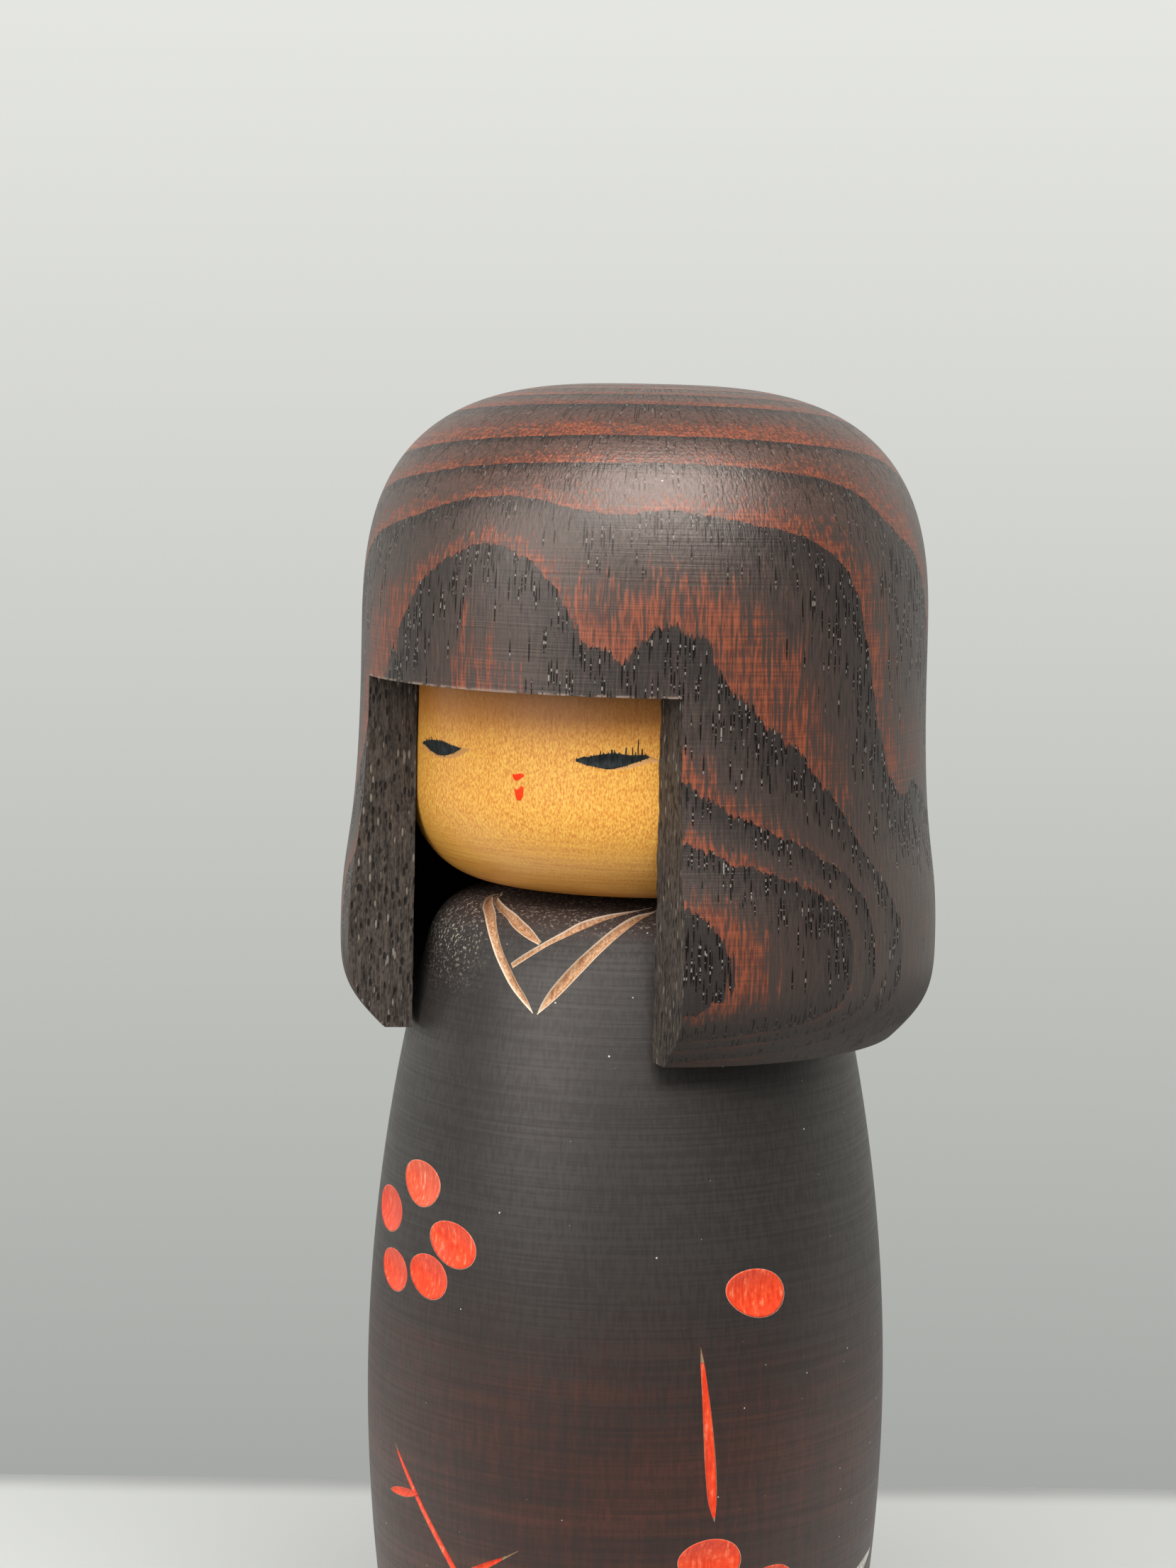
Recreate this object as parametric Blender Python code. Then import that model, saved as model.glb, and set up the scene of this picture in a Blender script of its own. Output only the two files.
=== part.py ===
"""A kokeshi doll of turned wood, in metres, +Z up, with its front towards -Y.

Four pieces of wood make it: a barrel body, a pale face block, a hollow hair cap that is glued over the
block and sawn open in front of the face, and a neck dowel that the head turns on.
The origin is the centre of the flat base.
"""

import math

import bmesh
import bpy
from mathutils import Matrix, Vector

# Fits: the gap left between two pieces that touch, and the least gap between the hair and the shoulders
FIT_GAP = 0.0003
RIM_CLEARANCE = 0.0007

# Body: a barrel whose widest ring is the belly, with rounded shoulders and a flat seat for the head
BODY_HEIGHT = 0.1582
BASE_RADIUS = 0.035
BASE_EDGE = 0.0012
BELLY_RADIUS = 0.04365
BELLY_HEIGHT = 0.072
SHOULDER_RADIUS = 0.0336
SHOULDER_DROP = 0.0092
SHOULDER_FULLNESS = 0.6
CROWN_RADIUS = 0.0239
CROWN_DROP = 0.0018
SEAT_RADIUS = 0.012

# Neck: the dowel stands a little off the body's axis and leans the same way, as drilled by hand
NECK_OFFSET = 0.0014
NECK_LEAN_DEG = 0.7
NECK_DIRECTION_DEG = 24.4
HEAD_TURN_DEG = -7.8
DOWEL_RADIUS = 0.006
DOWEL_IN_BODY = 0.025
DOWEL_IN_HEAD = 0.022
DOWEL_CHAMFER = 0.001

# Face block: its side is straight, and its chin rounds in to a flat underside
FACE_HEIGHT = 0.0474
CHIN_WIDTH = 0.0137
CHIN_HEIGHT = 0.016
FACE_TOP_EDGE = 0.0008

# Hair cap: heights are measured from the seat, and radii from the hollow that holds the face block
HAIR_DROP = 0.0238
FRINGE_COVER = 0.0139
CROWN_THICKNESS = 0.0341
DOME_HEIGHT = 0.043
DOME_SQUARENESS = 3.0
WAIST_WALL = 0.0077
FLARE = 0.0028
BOB_STRAIGHT = 0.74
BOB_SWING = 0.36
HEM_HEIGHT = 0.015
HEM_FULLNESS = 0.85
HEM_SLOPE_DEG = 45.0
RIM_WALL = 0.0043
NOTCH_HALF_ANGLE_DEG = 39.5
LEFT_LOCK_SPLAY_DEG = 56.0
RIGHT_LOCK_SPLAY_DEG = 49.0

# Fineness of the turned surfaces
TURN_STEPS = 64
DOWEL_SIDES = 40
CURVE_STEPS = 7
MERGE_DISTANCE = 0.00001
CUTTER_OVERRUN = 0.004
SHARP_ANGLE_DEG = 35.0


def body_radius(height):
    """Radius of the body's side: a parabola up from the belly to the shoulder, and one down to the base."""
    if height >= BELLY_HEIGHT:
        end_radius, end_height = SHOULDER_RADIUS, BODY_HEIGHT - SHOULDER_DROP
    else:
        end_radius, end_height = BASE_RADIUS, 0.0
    share = (height - BELLY_HEIGHT) / (end_height - BELLY_HEIGHT)
    return BELLY_RADIUS + (end_radius - BELLY_RADIUS) * share**2


def hollow_radius():
    """Radius of the hair's hollow: it passes the widest part of the shoulders that the hair hangs over."""
    rim_height = max(BODY_HEIGHT - HAIR_DROP, BELLY_HEIGHT)
    return body_radius(rim_height) + NECK_OFFSET + RIM_CLEARANCE


def hollow_ceiling():
    """Height of the hollow's flat end above the seat, with the face block and its two gaps below it."""
    return FACE_HEIGHT + 2 * FIT_GAP


def curve(start, start_handle, end_handle, end):
    """Points of a cubic curve between two (radius, height) points, with its start left out."""
    points = []
    for step in range(1, CURVE_STEPS + 1):
        t = step / CURVE_STEPS
        weights = ((1 - t) ** 3, 3 * t * (1 - t) ** 2, 3 * t**2 * (1 - t), t**3)
        ends = (start, start_handle, end_handle, end)
        points.append(tuple(sum(w * p[i] for w, p in zip(weights, ends)) for i in (0, 1)))
    return points


def between(a, b, share):
    """The point that lies this share of the way from a to b."""
    return tuple(p + (q - p) * share for p, q in zip(a, b))


def rounded(start, corner, end, fullness):
    """A curve that leaves start towards the corner and reaches end from it, fuller as it nears the corner."""
    return curve(start, between(start, corner, fullness), between(end, corner, fullness), end)


def side(top, bottom, radius_at):
    """Points down a turned side from one height to another, both ends included."""
    heights = [top + (bottom - top) * step / CURVE_STEPS for step in range(CURVE_STEPS + 1)]
    return [(radius_at(height), height) for height in heights]


def material(name, colour, roughness):
    """A Principled BSDF wood finish."""
    made = bpy.data.materials.new(name)
    made.use_nodes = True
    shader = made.node_tree.nodes["Principled BSDF"]
    shader.inputs["Base Color"].default_value = (*colour, 1.0)
    shader.inputs["Roughness"].default_value = roughness
    shader.inputs["Metallic"].default_value = 0.0
    return made


def add_object(name, mesh, parent):
    """Puts a mesh into the scene under a parent, in the parent's own frame."""
    made = bpy.data.objects.new(name, mesh)
    bpy.context.scene.collection.objects.link(made)
    made.parent = parent
    return made


def turned(name, outline, steps, parent):
    """Turns an outline of (radius, height) points, from the axis down the outside and back to the axis."""
    mesh = bpy.data.meshes.new(name)
    points = [(radius, 0.0, height) for radius, height in outline]
    mesh.from_pydata(points, [(i, i + 1) for i in range(len(points) - 1)], [])
    made = add_object(name, mesh, parent)
    lathe = made.modifiers.new("lathe", "SCREW")
    lathe.steps = steps
    lathe.render_steps = steps
    lathe.use_merge_vertices = True
    lathe.merge_threshold = MERGE_DISTANCE
    return made


def cut(target, cutter):
    """Cuts a hidden tool out of a piece."""
    cutter.hide_render = True
    cutter.display_type = "WIRE"
    boolean = target.modifiers.new("cut_" + cutter.name, "BOOLEAN")
    boolean.operation = "DIFFERENCE"
    boolean.solver = "EXACT"
    boolean.object = cutter


def finish(piece, finish_material):
    """Applies a piece's modifiers, shades its round faces smooth and gives it its material."""
    bpy.context.view_layer.update()
    graph = bpy.context.evaluated_depsgraph_get()
    mesh = bpy.data.meshes.new_from_object(piece.evaluated_get(graph))
    piece.modifiers.clear()
    piece.data = mesh
    mesh.shade_smooth()
    mesh.set_sharp_from_angle(angle=math.radians(SHARP_ANGLE_DEG))
    mesh.materials.clear()
    mesh.materials.append(finish_material)


def peg(name, radius, bottom, top, parent):
    """A round rod with square ends, standing on the parent's Z axis."""
    shape = bmesh.new()
    middle = Matrix.Translation((0.0, 0.0, (bottom + top) / 2))
    bmesh.ops.create_cone(
        shape,
        cap_ends=True,
        segments=DOWEL_SIDES,
        radius1=radius,
        radius2=radius,
        depth=top - bottom,
        matrix=middle,
    )
    mesh = bpy.data.meshes.new(name)
    shape.to_mesh(mesh)
    shape.free()
    return add_object(name, mesh, parent)


def neck_frame(name, turn_deg):
    """An empty on the neck's axis at the seat, leaning with the dowel and turned about it."""
    across = math.radians(NECK_DIRECTION_DEG)
    lean_axis = Vector((-math.sin(across), math.cos(across), 0.0))
    foot = Vector((math.cos(across), math.sin(across), 0.0)) * NECK_OFFSET
    foot.z = BODY_HEIGHT
    lean = Matrix.Rotation(math.radians(NECK_LEAN_DEG), 4, lean_axis)
    turn = Matrix.Rotation(math.radians(turn_deg), 4, "Z")
    frame = bpy.data.objects.new(name, None)
    bpy.context.scene.collection.objects.link(frame)
    frame.matrix_world = Matrix.Translation(foot) @ lean @ turn
    return frame


def make_body(neck, finish_material):
    """The barrel, drilled from its seat for the neck dowel."""
    shoulder_height = BODY_HEIGHT - SHOULDER_DROP
    crown_height = BODY_HEIGHT - CROWN_DROP
    shoulder = (SHOULDER_RADIUS, shoulder_height)
    crown = (CROWN_RADIUS, crown_height)
    # The shoulder's corner lies where the side, carried on straight, meets the crown's height
    side_slope = 2 * (SHOULDER_RADIUS - BELLY_RADIUS) / (shoulder_height - BELLY_HEIGHT)
    corner = (SHOULDER_RADIUS + side_slope * (crown_height - shoulder_height), crown_height)
    outline = [(0.0, BODY_HEIGHT), (SEAT_RADIUS, BODY_HEIGHT), crown]
    outline += rounded(crown, corner, shoulder, SHOULDER_FULLNESS)
    outline += side(shoulder_height, BELLY_HEIGHT, body_radius)[1:]
    outline += side(BELLY_HEIGHT, BASE_EDGE, body_radius)[1:]
    outline += [(BASE_RADIUS - BASE_EDGE, 0.0), (0.0, 0.0)]
    body = turned("turned_body", outline, TURN_STEPS, None)
    socket_bottom = -DOWEL_IN_BODY - FIT_GAP
    cut(body, peg("dowel_socket", DOWEL_RADIUS + FIT_GAP, socket_bottom, CUTTER_OVERRUN, neck))
    finish(body, finish_material)


def make_dowel(neck, finish_material):
    """The peg that is glued into the body and that the face block turns on."""
    top, bottom = DOWEL_IN_HEAD, -DOWEL_IN_BODY
    outline = [
        (0.0, top),
        (DOWEL_RADIUS - DOWEL_CHAMFER, top),
        (DOWEL_RADIUS, top - DOWEL_CHAMFER),
        (DOWEL_RADIUS, bottom + DOWEL_CHAMFER),
        (DOWEL_RADIUS - DOWEL_CHAMFER, bottom),
        (0.0, bottom),
    ]
    dowel = turned("neck_dowel", outline, DOWEL_SIDES, neck)
    finish(dowel, finish_material)


def make_face_block(head, finish_material):
    """The pale block: a straight side, a chin that is a quarter of an ellipse, and a bore for the dowel."""
    radius = hollow_radius() - FIT_GAP
    bottom, top = FIT_GAP, FIT_GAP + FACE_HEIGHT
    outline = [(0.0, top), (radius - FACE_TOP_EDGE, top), (radius, top - FACE_TOP_EDGE)]
    for step in range(CURVE_STEPS + 1):
        angle = math.pi / 2 * step / CURVE_STEPS
        drop, reach = math.sin(angle), math.cos(angle)
        outline.append((radius - CHIN_WIDTH * (1 - reach), bottom + CHIN_HEIGHT * (1 - drop)))
    outline.append((0.0, bottom))
    block = turned("face_block", outline, TURN_STEPS, head)
    bore_top = DOWEL_IN_HEAD + FIT_GAP
    cut(block, peg("dowel_bore", DOWEL_RADIUS + FIT_GAP, -CUTTER_OVERRUN, bore_top, head))
    finish(block, finish_material)


def notch_cutter(head, waist_radius, reach):
    """A wedge that stands in front of the face: its two sides saw the locks, and its top saws the fringe.

    Each side crosses the waist at the notch's half angle, and splays outwards from straight ahead.
    """
    half = math.radians(NOTCH_HALF_ANGLE_DEG)
    inset = 2 * WAIST_WALL
    plan = []
    for hand, splay_deg, distances in (
        (-1, RIGHT_LOCK_SPLAY_DEG, (-inset, reach)),
        (1, LEFT_LOCK_SPLAY_DEG, (reach, -inset)),
    ):
        splay = math.radians(splay_deg)
        edge = Vector((hand * math.sin(half), -math.cos(half))) * waist_radius
        saw = Vector((hand * math.sin(splay), -math.cos(splay)))
        plan += [edge + saw * distance for distance in distances]
    bottom = -HAIR_DROP - CUTTER_OVERRUN
    top = hollow_ceiling() - FRINGE_COVER
    shape = bmesh.new()
    floor = shape.faces.new([shape.verts.new((corner.x, corner.y, bottom)) for corner in plan])
    raised = bmesh.ops.extrude_face_region(shape, geom=[floor])["geom"]
    corners = [item for item in raised if isinstance(item, bmesh.types.BMVert)]
    bmesh.ops.translate(shape, verts=corners, vec=(0.0, 0.0, top - bottom))
    bmesh.ops.recalc_face_normals(shape, faces=shape.faces)
    mesh = bpy.data.meshes.new("face_notch")
    shape.to_mesh(mesh)
    shape.free()
    return add_object("face_notch", mesh, head)


def make_hair_cap(head, finish_material):
    """The cap: a squared dome over a flared bob with a rounded hem, hollow below and open over the face."""
    hollow = hollow_radius()
    ceiling = hollow_ceiling()
    waist_radius = hollow + WAIST_WALL
    hem_radius = waist_radius + FLARE
    dome_foot = ceiling + CROWN_THICKNESS - DOME_HEIGHT
    rim_height = -HAIR_DROP
    waist, hem = (waist_radius, dome_foot), (hem_radius, rim_height + HEM_HEIGHT)
    rim = (hollow + RIM_WALL, rim_height)

    # Down the dome, a superellipse in equal steps of angle
    outline = [(0.0, dome_foot + DOME_HEIGHT)]
    power = 2 / DOME_SQUARENESS
    dome_steps = 2 * CURVE_STEPS
    for step in range(1, dome_steps + 1):
        angle = math.pi / 2 * step / dome_steps
        out, up = math.sin(angle), math.cos(angle)
        outline.append((waist_radius * out**power, dome_foot + DOME_HEIGHT * up**power))
    # Down the bob, which stays narrow below the dome and then swings out to the hem
    drop = waist[1] - hem[1]
    narrow = (waist_radius, waist[1] - drop * BOB_STRAIGHT)
    swung = (hem_radius, hem[1] + drop * BOB_SWING)
    outline += curve(waist, narrow, swung, hem)
    # Round the hem to the rim, where it still slopes, then up inside the hollow
    tuck = (hem_radius - rim[0]) * math.tan(math.radians(HEM_SLOPE_DEG))
    outline += rounded(hem, (hem_radius, rim_height + tuck), rim, HEM_FULLNESS)
    outline += [(hollow, rim_height), (hollow, ceiling), (0.0, ceiling)]
    cap = turned("hair_cap", outline, TURN_STEPS, head)
    cut(cap, notch_cutter(head, waist_radius, 2 * hem_radius))
    finish(cap, finish_material)


def main():
    for old in list(bpy.data.objects):
        bpy.data.objects.remove(old)
    neck = neck_frame("neck", 0.0)
    head = neck_frame("head", HEAD_TURN_DEG)
    make_body(neck, material("stained_body_wood", (0.035, 0.026, 0.025), 0.45))
    make_dowel(neck, material("dowel_wood", (0.62, 0.45, 0.25), 0.6))
    make_face_block(head, material("pale_face_wood", (0.80, 0.47, 0.15), 0.5))
    make_hair_cap(head, material("stained_hair_wood", (0.085, 0.030, 0.020), 0.4))


main()
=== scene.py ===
import math

import bmesh
import bpy
import numpy as np
from mathutils import Matrix, Vector


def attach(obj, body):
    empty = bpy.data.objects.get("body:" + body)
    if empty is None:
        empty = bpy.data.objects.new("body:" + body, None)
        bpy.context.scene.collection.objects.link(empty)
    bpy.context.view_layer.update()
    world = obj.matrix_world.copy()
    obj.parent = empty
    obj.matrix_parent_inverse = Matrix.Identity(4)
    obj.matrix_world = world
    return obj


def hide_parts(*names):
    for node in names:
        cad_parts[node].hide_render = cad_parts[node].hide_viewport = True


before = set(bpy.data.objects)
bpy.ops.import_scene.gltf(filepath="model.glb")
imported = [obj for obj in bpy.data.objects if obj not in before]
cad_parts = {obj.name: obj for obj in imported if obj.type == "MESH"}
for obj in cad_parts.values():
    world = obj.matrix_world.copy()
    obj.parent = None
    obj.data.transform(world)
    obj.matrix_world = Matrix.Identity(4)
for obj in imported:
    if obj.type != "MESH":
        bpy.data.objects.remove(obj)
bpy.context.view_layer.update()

# The body: one block of wood, turned on a lathe to a barrel with rounded shoulders and stained nearly
# black under a satin varnish. It is drilled for the neck dowel, and its blossoms, twigs and collar are
# gouged through the stain, down to the bare wood. Sizes in this file are in millimetres.
MM = 0.001
BODY_HEIGHT = 158.2
BASE_RADIUS, BASE_EDGE = 35.0, 1.2
BELLY_RADIUS, BELLY_HEIGHT = 43.65, 72.0
SHOULDER_RADIUS, SHOULDER_HEIGHT, SHOULDER_FULLNESS = 33.6, 149.0, 0.6
CROWN_RADIUS, CROWN_HEIGHT = 23.9, 156.4
SEAT_RADIUS = 12.0
BASE_RING, BODY_COLUMNS = 8.0, 252
GOUGE_POWER = 1.6


def between(a, b, share):
    """The point that lies a share of the way from a to b."""
    return np.asarray(a, float) + (np.asarray(b, float) - np.asarray(a, float)) * share


def cubic(start, start_handle, end_handle, end, count):
    """Points on a cubic curve: the four points weighted by the powers of t and of 1 - t."""
    t = np.linspace(0, 1, count)[:, None]
    weights = ((1 - t) ** 3, 3 * t * (1 - t) ** 2, 3 * t**2 * (1 - t), t**3)
    corners = (start, start_handle, end_handle, end)
    return sum(w * np.asarray(p, float) for w, p in zip(weights, corners))


def body_side(height):
    """Radius of the barrel: a parabola from the belly up to the shoulder, and one down to the base."""
    up = height >= BELLY_HEIGHT
    reach = np.where(up, SHOULDER_HEIGHT - BELLY_HEIGHT, -BELLY_HEIGHT)
    end = np.where(up, SHOULDER_RADIUS, BASE_RADIUS)
    return BELLY_RADIUS + (end - BELLY_RADIUS) * ((height - BELLY_HEIGHT) / reach) ** 2


def body_outline():
    """The barrel's side from base to top, as radius and height.

    Two parabolas make the side, a cubic the shoulder and a straight line the crown.
    """
    heights = np.linspace(BASE_EDGE, SHOULDER_HEIGHT, 128)
    slope = 2 * (SHOULDER_RADIUS - BELLY_RADIUS) / (SHOULDER_HEIGHT - BELLY_HEIGHT)
    corner = (SHOULDER_RADIUS + slope * (CROWN_HEIGHT - SHOULDER_HEIGHT), CROWN_HEIGHT)
    shoulder, crown = (SHOULDER_RADIUS, SHOULDER_HEIGHT), (CROWN_RADIUS, CROWN_HEIGHT)
    handles = between(shoulder, corner, SHOULDER_FULLNESS), between(crown, corner, SHOULDER_FULLNESS)
    rounded = cubic(shoulder, *handles, crown, 22)
    top = np.linspace(crown, (SEAT_RADIUS, BODY_HEIGHT), 9)
    side = np.stack([body_side(heights), heights], 1)
    return np.concatenate([side, rounded[1:], top[1:]])


def turned_rings(outline, columns):
    """Rings of a surface of revolution: an outline's radius and height, carried round Z from the front."""
    turn = np.linspace(0, 2 * np.pi, columns, endpoint=False)
    radius, height = outline[:, :1], outline[:, 1:]
    flat = np.zeros(columns)
    return np.stack([radius * np.sin(turn), -radius * np.cos(turn), height + flat], -1)


def closed_skin(name, first, rings, last, *finishes):
    """A closed mesh: rings of points joined by quads, with a fan of triangles to a point at each end."""
    rows, columns = rings.shape[:2]
    index = 1 + np.arange(rows * columns).reshape(rows, columns)
    beside = np.roll(index, -1, axis=1)
    quads = np.stack([index[:-1], index[1:], beside[1:], beside[:-1]], -1).reshape(-1, 4)
    end = np.full(columns, rows * columns + 1)
    fans = np.stack([0 * end, index[0], beside[0]], -1), np.stack([end, beside[-1], index[-1]], -1)
    points = np.concatenate([[first], rings.reshape(-1, 3), [last]]) * MM
    mesh = bpy.data.meshes.new(name)
    mesh.from_pydata(points.tolist(), [], [*fans[0].tolist(), *quads.tolist(), *fans[1].tolist()])
    shape = bmesh.new()
    shape.from_mesh(mesh)
    bmesh.ops.recalc_face_normals(shape, faces=shape.faces)
    shape.to_mesh(mesh)
    shape.free()
    mesh.shade_smooth()
    for each in finishes:
        mesh.materials.append(each)
    piece = bpy.data.objects.new(name, mesh)
    bpy.context.scene.collection.objects.link(piece)
    return piece


def carve(piece, cutters, sharp_deg):
    """Cuts the solids out of the piece, keeps their finish on the cut faces, and sets its edges sharp."""
    for cutter in cutters:
        cut = piece.modifiers.new(cutter.name, "BOOLEAN")
        cut.object, cut.operation, cut.solver = cutter, "DIFFERENCE", "MANIFOLD"
        cut.material_mode = "TRANSFER"
    seen = piece.evaluated_get(bpy.context.evaluated_depsgraph_get())
    carved = bpy.data.meshes.new_from_object(seen)
    piece.modifiers.clear()
    piece.data = carved
    carved.shade_smooth()
    carved.set_sharp_from_angle(angle=math.radians(sharp_deg))
    for cutter in cutters:
        bpy.data.objects.remove(cutter)


def mark_depth(piece, outline, place):
    """Keeps each point's depth below the turned surface: how far it is inside the nearest outline point."""
    mesh = piece.data
    points = np.empty(len(mesh.vertices) * 3)
    mesh.vertices.foreach_get("co", points)
    points = (points.reshape(-1, 3) / MM - place[:3, 3]) @ place[:3, :3]
    seen = np.stack([np.hypot(points[:, 0], points[:, 1]), points[:, 2]], 1)
    along = np.gradient(outline, axis=0)
    out = np.stack([along[:, 1], -along[:, 0]], 1) / np.linalg.norm(along, axis=1)[:, None]
    gap = outline[None] - seen[:, None]
    nearest = (gap**2).sum(-1).argmin(1)
    rows = np.arange(len(seen))
    depth = (gap[rows, nearest] * out[nearest]).sum(-1)
    mesh.attributes.new("cut_depth", "FLOAT", "POINT").data.foreach_set("value", depth)


def on_turned(outline, angle_deg, height):
    """Points on a turned surface at these angles from the front and heights, and the ways straight out."""
    radius = np.interp(height, outline[:, 1], outline[:, 0])
    along = np.gradient(outline, axis=0)
    along /= np.linalg.norm(along, axis=1)[:, None]
    rise = np.interp(height, outline[:, 1], along[:, 1])
    lean = np.interp(height, outline[:, 1], -along[:, 0])
    turn = np.radians(angle_deg)
    ahead = np.stack([np.sin(turn), -np.cos(turn), 0 * turn], -1)
    up = np.array([0.0, 0.0, 1.0])
    points = ahead * radius[..., None] + up * height[..., None]
    return points, ahead * rise[..., None] + up * lean[..., None]


def smooth_line(knots, count):
    """A smooth line through the knots: cubics, whose slope at a knot is half its neighbours' step."""
    knots = np.asarray(knots, float)
    padded = np.vstack([2 * knots[0] - knots[1], knots, 2 * knots[-1] - knots[-2]])
    slope = (padded[2:] - padded[:-2]) / 2
    t = np.linspace(0, len(knots) - 1, count)
    i = np.minimum(t.astype(int), len(knots) - 2)
    f = (t - i)[:, None]
    start = (1 + 2 * f) * (1 - f) ** 2 * knots[i] + f * (1 - f) ** 2 * slope[i]
    return start + f**2 * (3 - 2 * f) * knots[i + 1] + f**2 * (f - 1) * slope[i + 1]


def groove_rows(outline, line, across, depth, lift=0.0):
    """A groove along a line of angle, height and half width on a turned surface.

    Across it the depth falls from the middle to the edges with a power of the distance, and it follows
    the half width along the line, as a gouge that is pressed in and lifted out again.
    """
    angle, height, half = (column[:, None] for column in line.T)
    foot, out = on_turned(outline, angle, height)
    ahead = np.gradient(foot, axis=0)
    ahead /= np.linalg.norm(ahead, axis=-1, keepdims=True)
    beside = np.cross(out, ahead)
    below = depth * half / line[:, 2].max() * (1 - np.abs(across) ** GOUGE_POWER) - lift
    return foot + beside * (half * across)[..., None] - out * below[..., None]


def groove_cutter(name, outline, line, depth, finish, place):
    """The solid that a groove takes away: the groove, carried on above the surface, with a lid."""
    reach, lid_lift = 1.35, 0.35
    bottom = groove_rows(outline, line, np.linspace(-reach, reach, 15), depth)
    lid = groove_rows(outline, line, np.linspace(reach, -reach, 5)[1:-1], 0.0, lid_lift + depth)
    rings = place(np.concatenate([bottom, lid], 1))
    return closed_skin(name, rings[0].mean(0), rings, rings[-1].mean(0), finish)


def groove_film(name, outline, line, depth, cover, thickness, finish, place):
    """Paint that lies in a groove: a thin closed skin over the middle share of its width."""
    top = groove_rows(outline, line, np.linspace(-cover, cover, 11), depth, thickness)
    under = groove_rows(outline, line, np.linspace(cover, -cover, 11), depth, -thickness)
    rings = place(np.concatenate([top, under], 1))
    return closed_skin(name, rings[0].mean(0), rings, rings[-1].mean(0), finish)


def scoop_rings(outline, oval, shares, depth, lifts, columns=72, fuller=0.1):
    """Rings of a shallow bowl on a turned surface, at shares of an oval.

    The oval is its middle's angle and height, half length, half width, tilt and taper: it is a little
    fuller at one end, and narrower below by the taper. The depth falls with the square of the share.
    """
    angle, height, length, width, tilt_deg, taper = oval
    turn = np.linspace(0, 2 * np.pi, columns, endpoint=False)
    share = np.asarray(shares, float)[:, None]
    along = length * share * np.cos(turn) * (1 + taper * np.sin(turn))
    aside = width * share * np.sin(turn) * (1 + fuller * np.cos(turn))
    tilt = math.radians(tilt_deg)
    level = along * math.cos(tilt) - aside * math.sin(tilt)
    rise = along * math.sin(tilt) + aside * math.cos(tilt)
    radius = np.interp(height, outline[:, 1], outline[:, 0])
    foot, out = on_turned(outline, angle + np.degrees(level / radius), height + rise)
    below = depth * (1 - share**2) - np.asarray(lifts, float)[:, None]
    return foot - out * below[..., None]


def scoop_cutter(name, outline, oval, depth, finish):
    """The solid that a scoop takes away: the bowl, carried on above the surface, with a lid."""
    reach, rows, wall_lift, lid_share, lid_lift = 1.16, 15, 0.5, 0.6, 0.7
    bowl = np.linspace(0.08, reach, rows)
    lifts = [0.0] * rows + [wall_lift, depth + lid_lift]
    rings = scoop_rings(outline, oval, [*bowl, reach, lid_share], depth, lifts)
    return closed_skin(name, rings[0].mean(0), rings, rings[-1].mean(0), finish)


def scoop_film(name, outline, oval, depth, cover, thickness, finish):
    """Paint that lies in a scoop: a thin closed skin over all but a bare rim."""
    rows = 14
    out = np.linspace(0.06, cover, rows)
    lifts = [thickness] * rows + [-thickness] * rows
    rings = scoop_rings(outline, oval, [*out, *out[::-1]], depth, lifts)
    return closed_skin(name, rings[0].mean(0), rings, rings[-1].mean(0), finish)


def stay(points):
    """The body's own frame is the frame of the whole doll, so its points stay where they are."""
    return points


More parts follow.
